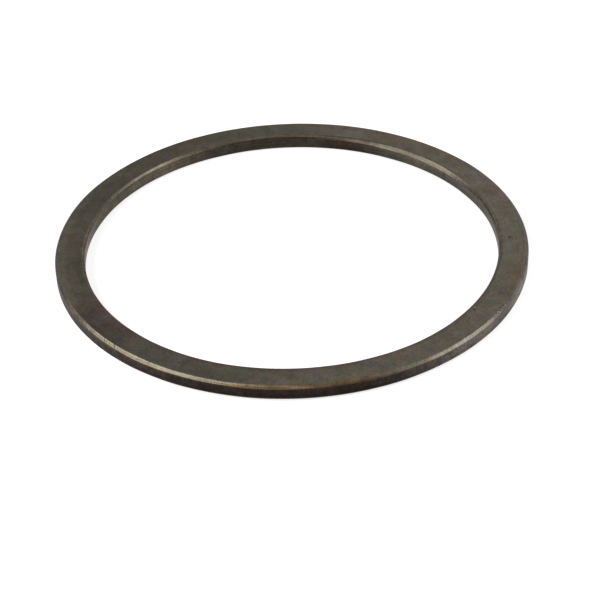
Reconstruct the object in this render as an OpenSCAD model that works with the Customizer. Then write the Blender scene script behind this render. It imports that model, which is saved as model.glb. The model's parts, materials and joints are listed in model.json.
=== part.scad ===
// Spacer ring: a flat steel ring, turned in one piece.
// Each of its four edges has a 45 degree chamfer, so the ring can be fitted either way up.
// The axis of the ring is Z. The origin is the centre of the lower face, on which the ring rests.

/* [Ring] */
// Diameter of the bore
bore_d = 105; // [60:0.5:160]
// Radial width of the ring, from the bore wall to the rim wall
ring_w = 7.5; // [4:0.5:30]
// Thickness, from the lower face to the upper face
thickness = 4; // [2:0.5:12]

/* [Edges] */
// Chamfer on both edges of the rim, measured along the face
rim_chamfer = 0.7; // [0.2:0.1:0.9]
// Chamfer on both edges of the bore, measured along the face
bore_chamfer = 0.7; // [0.2:0.1:0.9]

/* [Hidden] */

// Radii of the bore wall and of the rim wall
bore_r = bore_d / 2;
rim_r = bore_r + ring_w;

// Radii between which the two faces are flat
face_inner_r = bore_r + bore_chamfer;
face_outer_r = rim_r - rim_chamfer;

// Colour of the dark, slightly brown steel
steel_colour = [0.33, 0.31, 0.28];

// One half of the cross-section: radius along X, height along Y
module ring_section() {
    polygon([
        [face_inner_r, 0],
        [face_outer_r, 0],
        [rim_r, rim_chamfer],
        [rim_r, thickness - rim_chamfer],
        [face_outer_r, thickness],
        [face_inner_r, thickness],
        [bore_r, thickness - bore_chamfer],
        [bore_r, bore_chamfer]
    ]);
}

// The section, turned about the axis
module spacer_ring() {
    color(steel_colour)
        rotate_extrude($fn = 180)
            ring_section();
}

spacer_ring();
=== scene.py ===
"""Looks of a flat turned steel spacer ring: its worn surface, the floor, the light and the camera."""

import json
import math
import random
from collections import namedtuple

import bpy
from mathutils import Matrix, Vector

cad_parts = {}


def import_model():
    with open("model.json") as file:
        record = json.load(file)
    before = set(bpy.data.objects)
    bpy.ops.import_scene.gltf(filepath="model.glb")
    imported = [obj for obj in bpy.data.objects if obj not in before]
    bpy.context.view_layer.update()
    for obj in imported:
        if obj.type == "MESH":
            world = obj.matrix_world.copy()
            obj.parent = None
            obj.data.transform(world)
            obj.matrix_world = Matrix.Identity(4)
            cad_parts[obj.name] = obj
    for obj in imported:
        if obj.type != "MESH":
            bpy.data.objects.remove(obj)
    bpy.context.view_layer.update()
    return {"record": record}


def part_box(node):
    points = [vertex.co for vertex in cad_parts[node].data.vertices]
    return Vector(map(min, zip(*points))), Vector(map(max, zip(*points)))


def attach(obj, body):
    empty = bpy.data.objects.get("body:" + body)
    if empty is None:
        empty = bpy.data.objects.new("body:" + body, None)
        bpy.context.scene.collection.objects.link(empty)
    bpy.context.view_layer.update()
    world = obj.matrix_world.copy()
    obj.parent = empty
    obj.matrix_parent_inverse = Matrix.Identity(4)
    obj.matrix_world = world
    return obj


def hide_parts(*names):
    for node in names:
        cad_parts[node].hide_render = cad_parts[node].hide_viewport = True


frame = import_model()

MM = 0.001

# Sizes of the ring in millimetres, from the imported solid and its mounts
mounts = {mount["name"]: mount["dims"] for mount in frame["record"]["mounts"]}
low_corner, high_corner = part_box("spacer_ring")
THICKNESS = (high_corner.z - low_corner.z) / MM
RIM_R = mounts["rim"]["r_mm"]
BORE_R = mounts["bore"]["r_mm"]
RIM_CHAMFER = (THICKNESS - mounts["rim"]["length_mm"]) / 2
BORE_CHAMFER = (THICKNESS - mounts["bore"]["length_mm"]) / 2
MIDDLE_R = (RIM_R + BORE_R) / 2
MIDDLE_Z = THICKNESS / 2
HALF_WIDTH = (RIM_R - BORE_R) / 2
FACE_OUTER_R = RIM_R - RIM_CHAMFER
FACE_INNER_R = BORE_R + BORE_CHAMFER

# Mesh of the ring, in millimetres
TICKS = 7680            # smallest steps round the axis, close enough for a small dent
STRIDE = 20             # of them between two columns where there is no dent
RIM_EDGE_R = 0.10       # small radius that handling leaves on the edges of the rim
FACE_EDGE_R = 0.60      # larger radius between the upper face and the rim chamfer
BORE_EDGE_R = 0.45      # radius on the edges of the bore, which are eased
EDGE_STEPS = 4          # faces across such a radius
SUPPORT = 0.06          # narrow row beside each radius, which keeps the flats flat
UPPER_STEP = 0.20       # row spacing on the upper face
LOWER_STEP = 0.60       # row spacing on the lower face
WALL_STEP = 0.35        # row spacing on the bore and rim walls
CHAMFER_STEP = 0.10     # row spacing on the chamfers
CHAMFER_WANDER = 0.035  # how far a chamfer's width strays round the ring
RIPPLE = 0.0035         # height of the turning ripple on the chamfers
RIPPLE_PITCH = 0.50     # distance between two of its crests

# Camera, fitted to the ring's outline
CAMERA_ELEVATION = 33.797  # degrees above the plane of the ring
CAMERA_ROLL = 2.117        # degrees
CAMERA_PITCH = 1.707       # degrees, aims it above the ring's centre
CAMERA_YAW = 0.206         # degrees
CAMERA_DISTANCE = 7.5968   # in rim radii
FOCAL_LENGTH = 2.97633     # in picture widths
SENSOR = 36.0

# The floor's own white, which only the camera and the reflections in the metal see
FLOOR_GLOW = 0.72       # near the ring, beside the light that the floor gets from the lamps
FAR_FLOOR_GLOW = 0.20   # what is added to it far out, where the lamps' light is weaker
NEAR_FLOOR = 0.15       # metres from the ring's centre at which that addition begins
FAR_FLOOR = 1.0         # and at which it is full

SEED = 11

# The lists of places, stains and painted light below were set one by one. The places of the dents and of the
# local changes in the chamfers come from the photo. The stains and the painted light and shade come from
# tables of mean colour round the ring, measured in the photo and in the render: a tint is about the ratio of
# the two, as it was without that tint.

# How far each chamfer departs from its nominal width in millimetres, across the face and down the wall
CHAMFER_EXTRA = {
    "low_rim": (-0.10, -0.10),
    "top_rim": (-0.20, -0.20),
    "top_bore": (-0.13, -0.13),
    "low_bore": (-0.15, -0.15),
}
# The same in some places only: half_width degrees to both sides of an azimuth, most in the middle
LocalExtra = namedtuple("LocalExtra", "chamfer azimuth half_width across down")
LOCAL_EXTRAS = [
    LocalExtra("top_rim", 270, 180, 0.20, 0.20),
    LocalExtra("top_rim", 30, 16, -0.10, -0.10),
    LocalExtra("top_rim", 156, 20, -0.16, -0.16),
    LocalExtra("top_rim", 203, 10, -0.10, -0.10),
    LocalExtra("top_rim", 224, 8, 0.0, 0.01),
    LocalExtra("top_rim", 233, 9, 0.0, 0.10),
    LocalExtra("top_rim", 247, 9, 0.05, -0.02),
    LocalExtra("top_rim", 277, 14, 0.02, -0.06),
    LocalExtra("top_rim", 300, 16, 0.0, 0.04),
    LocalExtra("top_rim", 321, 10, -0.05, -0.08),
    LocalExtra("top_rim", 338, 18, -0.14, -0.14),
    LocalExtra("top_bore", 20, 180, 0.26, 0.26),
    LocalExtra("top_bore", 42, 30, 0.05, 0.16),
    LocalExtra("top_bore", 54, 14, 0.0, 0.09),
    LocalExtra("top_bore", 75, 60, 0.0, 0.18),
    LocalExtra("top_bore", 142, 17, -0.09, 0.06),
    LocalExtra("top_bore", 193, 14, 0.06, 0.15),
    LocalExtra("top_bore", 225, 24, -0.12, -0.15),
    LocalExtra("top_bore", 325, 32, -0.12, -0.25),
    LocalExtra("low_bore", 8, 24, 0.25, 0.25),
    LocalExtra("low_bore", 178, 18, 0.10, 0.10),
]

# Dents in the upper side, each a short line between two places: (azimuth in degrees, radius).
# The tone is how dark (below 0) or how bare and bright (above 0) the metal in the dent is.
Dent = namedtuple("Dent", "start end width depth tone")
DENTS = [
    # Pits in the upper face
    Dent((357.84, 55.36), (357.84, 55.36), 0.42, 0.14, -1.0),
    Dent((326.65, 58.85), (326.95, 58.93), 0.32, 0.06, -0.45),
    Dent((327.80, 59.14), (328.00, 59.20), 0.26, 0.05, -0.4),
    Dent((323.05, 53.85), (322.60, 54.70), 0.17, 0.05, -0.9),
    Dent((198.99, 54.43), (198.99, 54.43), 0.20, 0.03, 0.6),
    Dent((347.30, 55.54), (347.30, 55.54), 0.22, 0.03, -0.4),
    Dent((335.21, 57.10), (335.21, 57.10), 0.20, 0.03, -0.4),
    Dent((341.60, 53.75), (341.60, 53.75), 0.20, 0.03, -0.4),
    # Scratches in the upper face
    Dent((323.80, 53.55), (323.65, 54.05), 0.14, 0.02, 1.0),
    Dent((241.20, 56.85), (241.66, 57.35), 0.10, 0.02, 0.8),
    # Nicks in the edge between the upper face and the rim chamfer
    Dent((216.25, 59.20), (216.50, 59.75), 0.20, 0.03, -0.3),
    Dent((220.50, 59.20), (220.85, 59.80), 0.22, 0.03, -0.4),
    Dent((224.04, 59.05), (224.55, 59.85), 0.28, 0.04, -0.4),
    Dent((235.09, 59.10), (235.24, 59.40), 0.22, 0.03, -0.4),
    Dent((325.20, 59.35), (325.55, 59.70), 0.22, 0.03, 0.4),
    Dent((328.35, 59.50), (328.60, 59.60), 0.20, 0.03, 0.3),
    Dent((268.90, 59.62), (269.25, 59.72), 0.16, 0.02, 0.6),
    Dent((270.60, 59.70), (271.60, 59.78), 0.16, 0.02, 0.6),
]

# Stains and cleaner places in the metal, and painted light and shade, by part of the section. Each reaches
# half_width degrees to both sides of its azimuth, fades over the soft degrees about that limit, and
# multiplies the colour by its tint.
Stain = namedtuple("Stain", "part azimuth half_width soft tint")
FACE_STAINS_AND_PAINTED_LIGHT = [
    # Painted light: the face is lighter over its far right part, where the lamps' light falls more.
    Stain("all", 40, 48, 16, (1.13, 1.12, 1.14)),
    Stain("all", 215.5, 9.5, 2, (0.84, 0.78, 0.83)),
    Stain("edge", 214, 22, 8, (1.12, 0.97, 1.08)),
    Stain("edge", 286, 46, 8, (0.95, 0.80, 0.90)),
    Stain("outer", 30, 8, 5, (0.84, 0.90, 0.94)),
    Stain("outer", 50, 36, 12, (1.12, 0.97, 0.98)),
    Stain("outer", 160, 4, 4, (1.10, 1.13, 1.18)),
    Stain("outer", 186, 20, 3, (1.25, 1.22, 1.18)),
    Stain("outer", 230, 5, 4, (0.91, 0.93, 1.04)),
    Stain("outer", 270, 7, 5, (1.13, 1.12, 1.12)),
    Stain("outer", 341, 7, 3, (1.10, 0.98, 0.88)),
    Stain("middle", 320, 5, 4, (0.90, 0.89, 0.88)),
    Stain("inside", 71, 5, 4, (1.17, 1.20, 1.22)),
    Stain("inside", 117, 7, 5, (1.11, 1.08, 1.08)),
    Stain("inside", 152, 12, 6, (0.90, 0.87, 0.88)),
    Stain("inner", 190, 7, 5, (0.86, 0.86, 0.80)),
    Stain("inner", 215, 7, 4, (1.18, 1.15, 1.14)),
]
CHAMFER_STAINS_AND_PAINTED_LIGHT = [
    # Painted highlight and painted shade: apart from the stains at 183, 240 and 296 degrees on the rim, these
    # tints brighten or dim the lamps' highlights on the chamfers and the dark beside them.
    Stain("rim", 183, 16, 6, (0.95, 0.99, 1.14)),
    Stain("rim", 213, 8, 4, (1.24, 1.22, 1.12)),
    Stain("rim", 250, 4, 3, (0.87, 0.87, 0.87)),
    Stain("rim", 263, 7, 3, (1.38, 1.36, 1.24)),
    Stain("rim", 296, 10, 5, (1.02, 0.99, 0.88)),
    Stain("rim", 311, 5, 4, (0.88, 0.91, 0.93)),
    Stain("rim", 329, 3, 3, (0.76, 0.76, 0.78)),
    Stain("rim_lip", 206, 4, 3, (1.35, 1.34, 1.20)),
    Stain("rim_lip", 304, 6, 4, (0.70, 0.70, 0.72)),
    Stain("rim_lip", 336, 14, 3, (0.42, 0.42, 0.45)),
    Stain("rim_low", 240, 30, 10, (0.94, 0.86, 0.72)),
    Stain("rim_low", 343, 12, 5, (1.45, 1.50, 1.66)),
    Stain("rim_foot", 261, 9, 4, (0.58, 0.56, 0.55)),
    Stain("rim_foot", 285, 7, 4, (0.66, 0.60, 0.58)),
    Stain("bore", 2, 20, 8, (1.52, 1.55, 1.72)),
    Stain("bore", 30, 5, 4, (1.15, 1.20, 1.28)),
    Stain("bore", 42, 6, 5, (1.18, 1.17, 1.17)),
    Stain("bore", 51, 14, 5, (0.76, 0.80, 0.85)),
    Stain("bore", 70, 7, 4, (0.53, 0.53, 0.52)),
    Stain("bore", 94, 13, 5, (1.20, 1.14, 1.14)),
    Stain("bore", 137, 14, 6, (0.95, 0.98, 1.06)),
    Stain("bore", 166, 12, 5, (0.80, 0.79, 0.79)),
    Stain("bore", 182, 10, 6, (1.45, 1.40, 1.45)),
    Stain("bore", 354, 6, 4, (1.25, 1.22, 1.22)),
    Stain("bore_foot", 92, 16, 7, (0.50, 0.42, 0.38)),
    Stain("bore_foot", 172, 9, 5, (1.75, 1.70, 1.65)),
    Stain("groove", 14, 8, 4, (0.50, 0.48, 0.50)),
]
WALL_STAINS_AND_PAINTED_LIGHT = [
    Stain("rim", 236, 5, 4, (1.20, 1.10, 1.10)),
    Stain("rim", 265, 22, 6, (0.72, 0.66, 0.60)),
    Stain("rim", 327, 4, 3, (0.64, 0.64, 0.68)),
    # Painted shade: the rim wall is darker towards its bottom.
    Stain("rim_low", 262, 30, 8, (0.74, 0.74, 0.78)),
    Stain("rim_low", 315, 15, 5, (0.82, 0.81, 0.86)),
    # Painted light: the bore tints above 1 at the wall's left and right sides; the others are stains.
    Stain("bore", 26, 15, 5, (0.80, 0.84, 0.95)),
    Stain("bore", 50, 3, 3, (1.24, 1.22, 1.18)),
    Stain("bore", 71, 7, 4, (0.80, 0.66, 0.67)),
    Stain("bore", 114, 3, 3, (0.78, 0.72, 0.76)),
    Stain("bore", 128, 3, 3, (1.30, 1.26, 1.24)),
    Stain("bore", 138, 9, 4, (1.22, 1.23, 1.20)),
    Stain("bore", 170, 8, 5, (1.20, 1.22, 1.32)),
    Stain("bore", 182, 7, 5, (2.10, 2.00, 2.05)),
    Stain("bore", 354, 6, 5, (1.55, 1.58, 1.72)),
    # Painted shade: the bore wall is darker and bluer towards its bottom.
    Stain("bore_low", 52, 30, 8, (0.74, 0.76, 0.88)),
]


# The ring's mesh

def on_upper_side(azimuth, radius):
    """The place on the upper face or the rim chamfer, in millimetres."""
    angle = math.radians(azimuth)
    drop = max(0.0, radius - FACE_OUTER_R)
    return Vector((radius * math.cos(angle), radius * math.sin(angle), THICKNESS - drop))


def wanderer(seed, harmonics):
    """A smooth curve round the ring, between about -1 and 1, made of a few seeded waves."""
    chance = random.Random(seed)
    waves = [(n, chance.uniform(0, 2 * math.pi), chance.uniform(0.5, 1.0)) for n in harmonics]
    total = sum(size for n, phase, size in waves)
    return lambda angle: 1.6 * sum(size * math.sin(n * angle + phase) for n, phase, size in waves) / total


CHAMFER_NAMES = ("low_rim", "top_rim", "top_bore", "low_bore")
STRAY = {name: wanderer(SEED + k, (3, 5, 8, 13, 21, 34)) for k, name in enumerate(CHAMFER_NAMES)}
RIPPLE_PHASE = wanderer(SEED + 10, (1, 2, 3, 5, 7))
RIPPLE_SIZE = wanderer(SEED + 11, (2, 3, 7, 11))


def chamfer_size(name, angle):
    """A chamfer's width across the face and down the wall."""
    width = (BORE_CHAMFER if name.endswith("bore") else RIM_CHAMFER) + CHAMFER_WANDER * STRAY[name](angle)
    across, down = (width + extra for extra in CHAMFER_EXTRA[name])
    for place in LOCAL_EXTRAS:
        away = abs((math.degrees(angle) - place.azimuth + 180) % 360 - 180) / place.half_width
        if place.chamfer == name and away < 1:
            share = (1 + math.cos(math.pi * away)) / 2
            across += share * place.across
            down += share * place.down
    return across, down


def section_corners(angle):
    """Corners of the section, from the lower face's bore end: (radius, height, edge radius, row spacing)."""
    low_rim, top_rim, top_bore, low_bore = (chamfer_size(name, angle) for name in CHAMFER_NAMES)
    return [
        (BORE_R + low_bore[0], 0.0, BORE_EDGE_R, LOWER_STEP),
        (RIM_R - low_rim[0], 0.0, RIM_EDGE_R, CHAMFER_STEP),
        (RIM_R, low_rim[1], RIM_EDGE_R, WALL_STEP),
        (RIM_R, THICKNESS - top_rim[1], RIM_EDGE_R, CHAMFER_STEP),
        (RIM_R - top_rim[0], THICKNESS, FACE_EDGE_R, UPPER_STEP),
        (BORE_R + top_bore[0], THICKNESS, BORE_EDGE_R, CHAMFER_STEP),
        (BORE_R, THICKNESS - top_bore[1], BORE_EDGE_R, WALL_STEP),
        (BORE_R, low_bore[1], BORE_EDGE_R, CHAMFER_STEP),
    ]


def row_counts():
    """Number of even rows in each of the eight sides of the section."""
    corners = section_corners(0.0)
    lengths = [math.dist(corners[k][:2], corners[(k + 1) % 8][:2]) for k in range(8)]
    return [max(1, round((length - 2 * SUPPORT) / corner[3])) for length, corner in zip(lengths, corners)]


ROW_COUNTS = row_counts()


def arc(before, corner, after, radius):
    """A small arc tangent to both sides of a corner, as (point, outward normal) pairs."""
    way_in = (corner - before).normalized()
    way_out = (after - corner).normalized()
    turn = way_in.angle(way_out)
    outward = Vector((way_in.y, -way_in.x))
    centre = corner - way_in * radius * math.tan(turn / 2) - outward * radius
    angles = [turn * step / EDGE_STEPS for step in range(EDGE_STEPS + 1)]
    normals = [outward * math.cos(angle) + way_in * math.sin(angle) for angle in angles]
    return [(centre + normal * radius, normal) for normal in normals]


def section(angle):
    """The closed section at one azimuth, as (point, outward normal), with the chamfers' ripple in it."""
    outline = section_corners(angle)
    corners = [Vector(corner[:2]) for corner in outline]
    arcs = [arc(corners[k - 1], corners[k], corners[(k + 1) % 8], outline[k][2]) for k in range(8)]
    rows = []
    for k in range(8):
        rows += arcs[k]
        start, normal = arcs[k][-1]
        end = arcs[(k + 1) % 8][0][0]
        way = (end - start).normalized()
        inner = (end - start).length - 2 * SUPPORT
        for row in range(ROW_COUNTS[k] + 1):
            share = row / ROW_COUNTS[k]
            travel = SUPPORT + inner * share
            sink = 0.0
            if k % 2:
                wave = math.sin(2 * math.pi * travel / RIPPLE_PITCH + 3.0 * RIPPLE_PHASE(angle))
                sink = RIPPLE * (1 + 0.8 * RIPPLE_SIZE(angle)) * (1 + wave) * math.sin(math.pi * share)
            rows.append((start + way * travel - normal * sink, normal))
    return rows


def column_ticks(dents):
    """Ticks of the columns: even ones, and every tick where a dent is."""
    ticks = set(range(0, TICKS, STRIDE))
    for start, end, dent in dents:
        turns = [math.atan2(p.y, p.x) / (2 * math.pi) % 1.0 * TICKS for p in (start, end)]
        reach = 1.2 * dent.width / (2 * math.pi * MIDDLE_R) * TICKS
        ticks |= {tick % TICKS for tick in range(int(min(turns) - reach), int(max(turns) + reach) + 2)}
    return sorted(ticks)


def line_distance(point, start, end):
    line = end - start
    share = (point - start).dot(line) / line.length_squared if line.length_squared else 0.0
    return (point - start - line * max(0.0, min(1.0, share))).length


def dented(place, dents):
    """Depth and tone that the dents give to a place on the ring."""
    depth = tone = 0.0
    for start, end, dent in dents:
        away = line_distance(place, start, end) / dent.width
        if away < 1:
            depth = max(depth, dent.depth * (1 - away * away) ** 2)
            tone = dent.tone * min(1.0, 1.6 * (1 - away))
    return depth, tone


def ring_mesh():
    """The ring in metres, with a map on which it is unrolled into four strips."""
    dents = [(on_upper_side(*dent.start), on_upper_side(*dent.end), dent) for dent in DENTS]
    ticks = column_ticks(dents)
    places, tones, travels = [], [], []
    for tick in ticks:
        angle = 2 * math.pi * tick / TICKS
        way = Vector((math.cos(angle), math.sin(angle), 0.0))
        near = [dent for dent in dents if dent[0].to_2d().normalized().dot(way.to_2d()) > 0.999]
        travel, before = 0.0, None
        for point, normal in section(angle):
            travel += (point - before).length if before else 0.0
            before = point
            travels.append(travel)
            depth, tone = dented(way * point.x + Vector((0, 0, point.y)), near)
            point = point - normal * depth
            places.append((way * point.x + Vector((0, 0, point.y))) * MM)
            tones.append(tone)
    rows = len(places) // len(ticks)
    length = max(travels) + 0.2

    faces, map_places = [], []
    for column, tick in enumerate(ticks):
        after = ticks[column + 1] if column + 1 < len(ticks) else TICKS
        quarter = 4 * tick // TICKS
        here, there = column * rows, (column + 1) % len(ticks) * rows
        for row in range(rows):
            up = (row + 1) % rows
            faces.append((here + row, there + row, there + up, here + up))
            low, high = travels[here + row], travels[here + up] if up else length
            for turn, height in ((tick, low), (after, low), (after, high), (tick, high)):
                map_places.append(0.003 + 0.994 * (4 * turn / TICKS - quarter))
                map_places.append((quarter + 0.02 + 0.93 * height / length) / 4)

    mesh = bpy.data.meshes.new("turned_ring")
    mesh.from_pydata(places, [], faces)
    mesh.uv_layers.new(name="OFBake").data.foreach_set("uv", map_places)
    mesh.attributes.new("tone", "FLOAT", "POINT").data.foreach_set("value", tones)
    mesh.polygons.foreach_set("use_smooth", [True] * len(faces))
    mesh.update()
    return mesh


# Materials

# Faint hues in the steel, each a change of the colour's red, green and blue
PINK, GREEN = (0.14, -0.05, 0.0), (-0.14, 0.05, -0.03)
BLUE, YELLOW = (-0.03, -0.02, 0.20), (0.03, 0.02, -0.22)


class Wire:
    """A node's output that can be used in sums."""

    def __init__(self, shade, socket):
        self.shade, self.socket = shade, socket

    def __add__(self, other):
        return self.shade.maths("ADD", self, other)

    def __sub__(self, other):
        return self.shade.maths("SUBTRACT", self, other)

    def __rsub__(self, other):
        return self.shade.maths("SUBTRACT", other, self)

    def __mul__(self, other):
        return self.shade.maths("MULTIPLY", self, other)

    def __truediv__(self, other):
        return self.shade.maths("DIVIDE", self, other)

    __radd__ = __add__
    __rmul__ = __mul__


class Shade:
    """Builds the nodes of a material or of the world."""

    def __init__(self, owner):
        owner.use_nodes = True
        self.tree = owner.node_tree
        self.tree.nodes.clear()

    def node(self, kind, inputs=(), **settings):
        made = self.tree.nodes.new(kind)
        for name, value in settings.items():
            setattr(made, name, value)
        for socket, value in inputs:
            self.plug(made.inputs[socket], value)
        return made

    def plug(self, socket, value):
        if isinstance(value, Wire):
            self.tree.links.new(value.socket, socket)
        elif isinstance(value, tuple) and socket.type == "RGBA":
            socket.default_value = (*value, 1.0)
        else:
            socket.default_value = value

    def out(self, node, name=0):
        return Wire(self, node.outputs[name])

    def maths(self, operation, a, b=0.0):
        return self.out(self.node("ShaderNodeMath", [(0, a), (1, b)], operation=operation))

    def vector(self, x=0.0, y=0.0, z=0.0):
        return self.out(self.node("ShaderNodeCombineXYZ", [("X", x), ("Y", y), ("Z", z)]))

    def vector_maths(self, operation, inputs, name=0):
        return self.out(self.node("ShaderNodeVectorMath", inputs, operation=operation), name)

    def scaled(self, vector, factor):
        """A vector or a colour times a factor."""
        return self.vector_maths("SCALE", [(0, vector), ("Scale", factor)])

    def distance(self, vector, place):
        return self.vector_maths("DISTANCE", [(0, vector), (1, place)], "Value")

    def step(self, value, low, high):
        """0 at low, 1 at high, and a smooth step between them."""
        return self.out(self.node(
            "ShaderNodeMapRange",
            [("Value", value), ("From Min", low), ("From Max", high)],
            interpolation_type="SMOOTHSTEP",
        ), "Result")

    def noise(self, vector, scale, w, detail=2.0, roughness=0.5):
        """Noise about 0, mostly between -1 and 1; each w gives another pattern."""
        pattern = [("Vector", vector), ("W", w), ("Scale", scale)]
        fineness = [("Detail", detail), ("Roughness", roughness)]
        made = self.node("ShaderNodeTexNoise", pattern + fineness, noise_dimensions="4D")
        return (self.out(made, "Fac") - 0.5) * 3.0

    def mix(self, share, a, b):
        made = self.node("ShaderNodeMix", [("Factor", share)], data_type="RGBA")
        for socket, value in zip([s for s in made.inputs if s.type == "RGBA"], (a, b)):
            self.plug(socket, value)
        return Wire(self, next(s for s in made.outputs if s.type == "RGBA"))

    def tinted(self, colour, share, tint, other=(1, 1, 1)):
        """A colour times a tint, or times the other one where the share is 0."""
        both = self.mix(share, other, tint)
        return self.vector_maths("MULTIPLY", [(0, colour), (1, both)])


class RingShade(Shade):
    """Nodes that know where on the ring they are."""

    def __init__(self, owner):
        super().__init__(owner)
        metres = self.out(self.node("ShaderNodeTexCoord"), "Object")
        self.place = self.scaled(metres, 1 / MM)
        split = self.node("ShaderNodeSeparateXYZ", [(0, self.place)])
        x, y, z = (self.out(split, name) for name in "XYZ")
        self.radius = self.distance(self.vector(x, y), (0, 0, 0))
        self.above = z
        self.height = self.maths("ABSOLUTE", z - MIDDLE_Z)
        self.east, self.north = x / self.radius, y / self.radius
        self.way = self.vector(self.east, self.north)

        across = self.maths("ABSOLUTE", self.radius - MIDDLE_R)
        self.on_face = self.step(self.height, THICKNESS / 2 - 0.07, THICKNESS / 2 - 0.01)
        self.on_wall = self.step(across, HALF_WIDTH - 0.07, HALF_WIDTH - 0.01)
        self.on_rim = self.step(self.radius, MIDDLE_R - 0.5, MIDDLE_R + 0.5)
        self.on_top = self.step(z, MIDDLE_Z - 0.5, MIDDLE_Z + 0.5)
        self.make_blotches()
        self.make_tool_marks()
        self.make_hues()

    def make_blotches(self):
        """Irregular spots, from soft patches to the fine grain of the metal."""
        self.patch = self.noise(self.place, 0.45, 3.0, 3.0)
        self.mottle = self.noise(self.place, 0.22, 5.0, 5.0, 0.85)
        self.grain = self.noise(self.place, 2.4, 13.0, 2.0, 0.8)

    def make_tool_marks(self):
        """Turning marks and streaks, which run round the ring, and chatter marks across the rim."""
        turned = self.vector(self.radius * 4.0, self.height * 4.0, self.east * 2.5)
        self.turning = self.noise(turned, 1.0, self.north * 2.5)
        streaky = self.vector(self.radius * 2.4, self.height * 2.4, self.east * 4.0)
        self.streaks = self.noise(streaky, 1.0, 30.0 + self.north * 4.0, 1.0)
        cross = self.vector(self.radius * 0.5 + self.above * 0.3, self.east * 60.0, self.north * 60.0)
        self.chatter = self.noise(cross, 2.2, 15.0, 2.0, 0.7)

    def make_hues(self):
        """Faint patches of colour along the ring, calmer at its left and right ends."""
        across = self.radius + (self.above - THICKNESS) * 2.5
        along = self.vector(across, self.east * 24.0, self.north * 24.0)
        vivid = 1.25 - (self.toward(0, 28, 14) + self.toward(180, 28, 14)) * 0.65
        self.pinkness = self.noise(along, 0.90, 7.0, 3.0, 0.8) * vivid
        self.yellowness = self.noise(along, 0.80, 9.0, 3.0, 0.8) * vivid

    def toward(self, azimuth, half_width, soft):
        """1 within half_width degrees of an azimuth; the soft part lies on both sides of that limit."""
        angle = math.radians(azimuth)
        away = self.distance(self.way, (math.cos(angle), math.sin(angle), 0)) + self.patch * 0.02
        outer, inner = (2 * math.sin(math.radians(half_width + side * soft) / 2) for side in (1, -1))
        return self.step(away, outer, inner)

    def stained(self, colour, stains, parts):
        """A colour with its stains and its painted light and shade; parts gives the share of the metal that
        each named part covers.
        """
        for stain in stains:
            share = self.toward(stain.azimuth, stain.half_width, stain.soft) * parts[stain.part]
            colour = self.tinted(colour, share, stain.tint)
        return colour

    def hued(self, colour, amount):
        """A colour with faint patches of pink and green, and of blue and yellow."""
        for share, tint, other in ((self.pinkness, PINK, GREEN), (self.yellowness, BLUE, YELLOW)):
            tint, other = (tuple(1 + amount * part for part in change) for change in (tint, other))
            colour = self.tinted(colour, self.step(share, -0.7, 0.7), tint, other)
        return colour

    def near_corner(self, radius, from_middle, inner, outer):
        """1 within the inner distance of one of the section's corners, 0 beyond the outer one."""
        away = self.distance(self.vector(self.radius, self.height), (radius, from_middle, 0))
        return self.step(away + self.patch * 0.03, outer, inner)


def face_colour(shade):
    """Dull oxidised steel with large clouds, fine mottling and faint patches of colour."""
    step = shade.step
    cloud = shade.noise(shade.place, 0.10, 1.0, 3.0)
    across = shade.radius + shade.patch * 0.3
    outer = step(across, MIDDLE_R + 0.6, MIDDLE_R + 1.8)
    inner = step(across, MIDDLE_R - 0.6, MIDDLE_R - 1.8)
    edge = step(shade.radius, FACE_INNER_R + 1.4, FACE_INNER_R + 0.4)

    colour = shade.mix(step(cloud, -0.8, 0.9), (0.067, 0.059, 0.046), (0.077, 0.072, 0.059))
    colour = shade.hued(colour, 1.0)
    colour = shade.stained(colour, FACE_STAINS_AND_PAINTED_LIGHT, {
        "all": 1.0, "edge": edge, "outer": outer, "middle": 1.0 - outer - inner, "inside": 1.0 - outer,
        "inner": inner,
    })
    return shade.scaled(colour, 1.0 + shade.mottle * 0.50 + shade.grain * 0.40 + shade.turning * 0.08)


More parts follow.
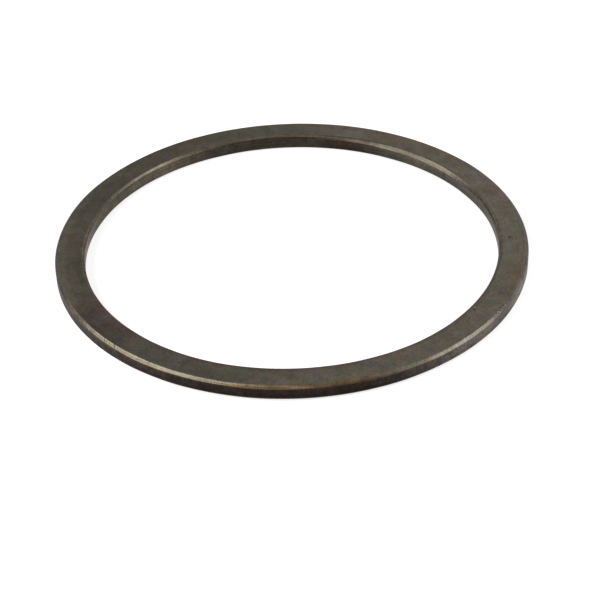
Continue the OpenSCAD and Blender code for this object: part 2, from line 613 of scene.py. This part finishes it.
def chamfer_colour(shade):
    """Barer, brighter steel, with a heat brown stain along the near part of the rim, and painted highlight
    and shade.
    """
    step, mix, on_rim = shade.step, shade.mix, shade.on_rim
    bare = mix(step(shade.patch, -0.8, 0.8), (0.083, 0.077, 0.063), (0.100, 0.094, 0.080))
    brown = mix(step(shade.patch, -0.6, 0.8), (0.095, 0.068, 0.042), (0.125, 0.088, 0.052))
    orange = (0.190, 0.130, 0.070)
    eased = mix(step(shade.patch, -0.8, 0.8), (0.060, 0.050, 0.036), (0.074, 0.064, 0.048))
    low = step(shade.radius, RIM_R - RIM_CHAMFER * 0.85, RIM_R - RIM_CHAMFER * 0.25)
    foot = step(shade.radius, RIM_R - RIM_CHAMFER * 0.55, RIM_R - RIM_CHAMFER * 0.15)
    lip = step(shade.radius, RIM_R - RIM_CHAMFER * 0.45, RIM_R - RIM_CHAMFER * 0.85) * on_rim
    bore_foot = step(shade.radius + shade.patch * 0.05, BORE_R + 0.40, BORE_R + 0.28)
    # Painted shade: a dark line along the bore chamfer just below the upper face, at the ring's right end.
    groove = shade.near_corner(BORE_R + BORE_CHAMFER * 0.42, THICKNESS / 2 - BORE_CHAMFER * 0.68, 0.12, 0.24)

    # The heat stain is brown, orange in one short place near the wall, and low on the chamfer at its left end
    colour = mix(on_rim, eased, bare)
    stain = step(shade.toward(272, 16, 7) + shade.patch * 0.25, 0.25, 0.75) * on_rim * shade.on_top
    stain = stain * (1.0 - shade.toward(256, 9, 4) * (1.0 - low) * 0.9)
    colour = mix(stain, colour, mix(shade.toward(270.5, 2.6, 1.6) * low, brown, orange))
    colour = shade.stained(colour, CHAMFER_STAINS_AND_PAINTED_LIGHT, {
        "rim": on_rim, "rim_lip": lip, "rim_low": low, "rim_foot": foot,
        "bore": 1.0 - on_rim, "bore_foot": bore_foot, "groove": groove,
    })
    colour = shade.hued(colour, 0.45)
    spots = shade.mottle * 0.45 + shade.grain * 0.45
    marks = shade.turning * 0.15 + shade.chatter * on_rim * 0.28 + shade.streaks * (0.50 - on_rim * 0.34)
    return shade.scaled(colour, 1.0 + spots + marks)


def wall_colour(shade):
    """Brown walls that were never polished: reddish on the rim, golden in the bore, with painted light on the
    bore's sides and the rim's right end, and painted shade towards the bottom.
    """
    step, mix, on_rim = shade.step, shade.mix, shade.on_rim
    blotch = shade.noise(shade.place, 0.8, 17.0, 3.0, 0.7)
    rim = mix(step(blotch, -0.6, 0.6), (0.018, 0.013, 0.012), (0.050, 0.036, 0.029))
    wall_top = THICKNESS / 2 - RIM_CHAMFER
    under_edge = step(shade.height, wall_top - 0.9, wall_top) * shade.on_top
    rim = mix(under_edge * step(blotch, -1.0, 0.8), rim, (0.090, 0.055, 0.036))
    rim = mix(under_edge * shade.toward(216, 6, 3) * 0.7, rim, (0.120, 0.075, 0.068))
    # Paler over the rim wall's right end: partly bare metal, partly painted light where the right lamp falls
    # on the wall.
    pale = shade.toward(332, 30, 12) * step(shade.patch, -1.0, 0.1)
    rim = mix(pale, rim, (0.200, 0.168, 0.145))
    # Painted light: the bore wall is golden and lighter at its sides, where the lamps' light falls on it, and
    # dull in its far middle.
    dull = mix(step(shade.patch, -0.8, 0.8), (0.042, 0.035, 0.025), (0.060, 0.050, 0.037))
    golden = mix(step(shade.patch, -0.8, 0.8), (0.088, 0.074, 0.052), (0.120, 0.104, 0.078))
    bore = mix(shade.toward(87, 27, 13), golden, dull)
    colour = mix(on_rim, bore, rim)
    # Painted shade: both walls are darker towards the bottom, near the floor.
    lower = step(shade.above + shade.patch * 0.2, MIDDLE_Z + 0.4, MIDDLE_Z - 0.8)
    colour = shade.stained(colour, WALL_STAINS_AND_PAINTED_LIGHT, {
        "rim": on_rim, "rim_low": on_rim * lower, "bore": 1.0 - on_rim, "bore_low": lower - on_rim * lower,
    })
    colour = shade.hued(colour, 1.0)
    spots = shade.mottle * 0.50 + shade.grain * 0.70
    marks = shade.turning * 0.30 + shade.chatter * on_rim * 0.45 + shade.streaks * 0.36
    return shade.scaled(colour, 1.0 + spots + marks)


def steel():
    """Dark turned steel: oxidised faces, brighter chamfers, brown walls, worn edges and dents."""
    material = bpy.data.materials.new("dark_turned_steel")
    shade = RingShade(material)
    step, mix, near_corner = shade.step, shade.mix, shade.near_corner
    colour = mix(shade.on_face, chamfer_colour(shade), face_colour(shade))
    colour = mix(shade.on_wall, colour, wall_colour(shade))

    # Worn edges: pale round the face, and orange along the stained part of the rim
    patchy = step(shade.patch + shade.mottle * 0.5, -0.9, 0.9)
    rim_corner = near_corner(RIM_R, THICKNESS / 2 - RIM_CHAMFER, 0.05, 0.20) * (0.3 + shade.on_top * 0.7)
    face_corner = near_corner(FACE_OUTER_R, THICKNESS / 2, 0.05, 0.17)
    colour = mix(face_corner * patchy * 0.3, colour, (0.135, 0.115, 0.085))
    colour = mix(rim_corner * patchy * 0.6, colour, (0.135, 0.110, 0.080))
    colour = mix(rim_corner * shade.toward(264, 11, 5) * 0.7, colour, (0.170, 0.105, 0.055))

    # Dents
    tone = shade.out(shade.node("ShaderNodeAttribute", attribute_name="tone"), "Fac")
    colour = mix(step(tone, 0.0, -1.0), colour, (0.018, 0.014, 0.011))
    colour = mix(step(tone, 0.0, 1.0), colour, (0.200, 0.180, 0.140))

    rough = 0.27 + shade.mottle * 0.03 + shade.on_face * 0.06 + shade.on_wall * 0.25
    relief = shade.turning * 0.0010 + shade.mottle * 0.0010
    bump = shade.node("ShaderNodeBump", [("Height", relief), ("Distance", MM), ("Strength", 1.0)])
    shader = shade.node("ShaderNodeBsdfPrincipled", [
        ("Base Color", colour), ("Metallic", 1.0 - shade.on_wall * 0.8), ("Roughness", rough),
        ("Specular IOR Level", 0.15), ("Specular Tint", (0.5, 0.5, 0.5)), ("Normal", shade.out(bump)),
    ])
    shade.node("ShaderNodeOutputMaterial", [("Surface", shade.out(shader))])
    return material


# Floor, light and camera

def seen_directly(shade):
    """1 for camera, glossy and transmission rays, so that the background is white in the metal too."""
    path = shade.node("ShaderNodeLightPath")
    camera_ray, glossy_ray, transmitted_ray = (
        shade.out(path, "Is %s Ray" % kind) for kind in ("Camera", "Glossy", "Transmission")
    )
    return shade.maths("MAXIMUM", shade.maths("MAXIMUM", camera_ray, glossy_ray), transmitted_ray)


def floor():
    """A white floor that keeps the ring's shadow, and makes up for the lamps' weaker light farther out."""
    bpy.ops.mesh.primitive_plane_add(size=4.0, location=(0, 0, -0.02 * MM))
    made = bpy.context.object
    made.name = "floor"
    material = bpy.data.materials.new("floor_white")
    shade = Shade(material)
    metres = shade.out(shade.node("ShaderNodeTexCoord"), "Object")
    far = shade.step(shade.distance(metres, (0, 0, 0)), NEAR_FLOOR, FAR_FLOOR)
    strength = seen_directly(shade) * (FLOOR_GLOW + far * FAR_FLOOR_GLOW)
    paint = shade.node("ShaderNodeBsdfDiffuse", [("Color", (0.5, 0.5, 0.5))])
    glow = shade.node("ShaderNodeEmission", [("Color", (1, 1, 1)), ("Strength", strength)])
    both = shade.node("ShaderNodeAddShader", [(0, shade.out(paint)), (1, shade.out(glow))])
    shade.node("ShaderNodeOutputMaterial", [("Surface", shade.out(both))])
    made.data.materials.append(material)


def world(ambient):
    made = bpy.data.worlds.new("white_studio")
    bpy.context.scene.world = made
    shade = Shade(made)
    strength = shade.maths("MAXIMUM", seen_directly(shade), ambient)
    background = shade.node("ShaderNodeBackground", [("Color", (1, 1, 1)), ("Strength", strength)])
    shade.node("ShaderNodeOutputWorld", [("Surface", shade.out(background))])


def softbox(name, azimuth, elevation, distance, width, height, radiance):
    """A rectangular lamp that faces the ring's centre, at angles in degrees and with sizes in metres."""
    a, e = math.radians(azimuth), math.radians(elevation)
    way = Vector((math.cos(a) * math.cos(e), math.sin(a) * math.cos(e), math.sin(e)))
    lamp = bpy.data.lights.new(name, "AREA")
    lamp.shape = "RECTANGLE"
    lamp.size, lamp.size_y = width, height
    lamp.energy = radiance * math.pi * width * height
    made = bpy.data.objects.new(name, lamp)
    made.location = way * distance
    made.rotation_euler = way.to_track_quat("Z", "Y").to_euler()
    made.visible_camera = False
    bpy.context.scene.collection.objects.link(made)


def camera():
    e = math.radians(CAMERA_ELEVATION)
    back = Vector((0, -math.cos(e), math.sin(e)))
    right = Vector((1, 0, 0))
    level = Matrix((right, back.cross(right), back))
    turn = (
        Matrix.Rotation(math.radians(CAMERA_ROLL), 3, "Z")
        @ Matrix.Rotation(math.radians(CAMERA_PITCH), 3, "X")
        @ Matrix.Rotation(math.radians(CAMERA_YAW), 3, "Y")
    )
    data = bpy.data.cameras.new("camera")
    data.sensor_width = SENSOR
    data.lens = SENSOR * FOCAL_LENGTH
    data.clip_start, data.clip_end = 0.01, 10.0
    made = bpy.data.objects.new("camera", data)
    place = (back * CAMERA_DISTANCE * RIM_R + Vector((0, 0, MIDDLE_Z))) * MM
    made.matrix_world = Matrix.Translation(place) @ (turn @ level).transposed().to_4x4()
    bpy.context.scene.collection.objects.link(made)
    bpy.context.scene.camera = made


ring = bpy.data.objects.new("turned_ring", ring_mesh())
bpy.context.scene.collection.objects.link(ring)
ring.data.materials.append(steel())
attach(ring, "root")
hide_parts("spacer_ring")

floor()
world(ambient=0.2)
softbox("softbox_left", 198, 40, distance=0.6, width=0.70, height=0.35, radiance=4.5)
softbox("softbox_right", -2, 37, distance=0.6, width=0.40, height=0.27, radiance=4.3)
softbox("softbox_back", 52, 36, distance=1.0, width=1.1, height=0.7, radiance=0.7)
camera()
bpy.context.scene.view_settings.view_transform = "Standard"
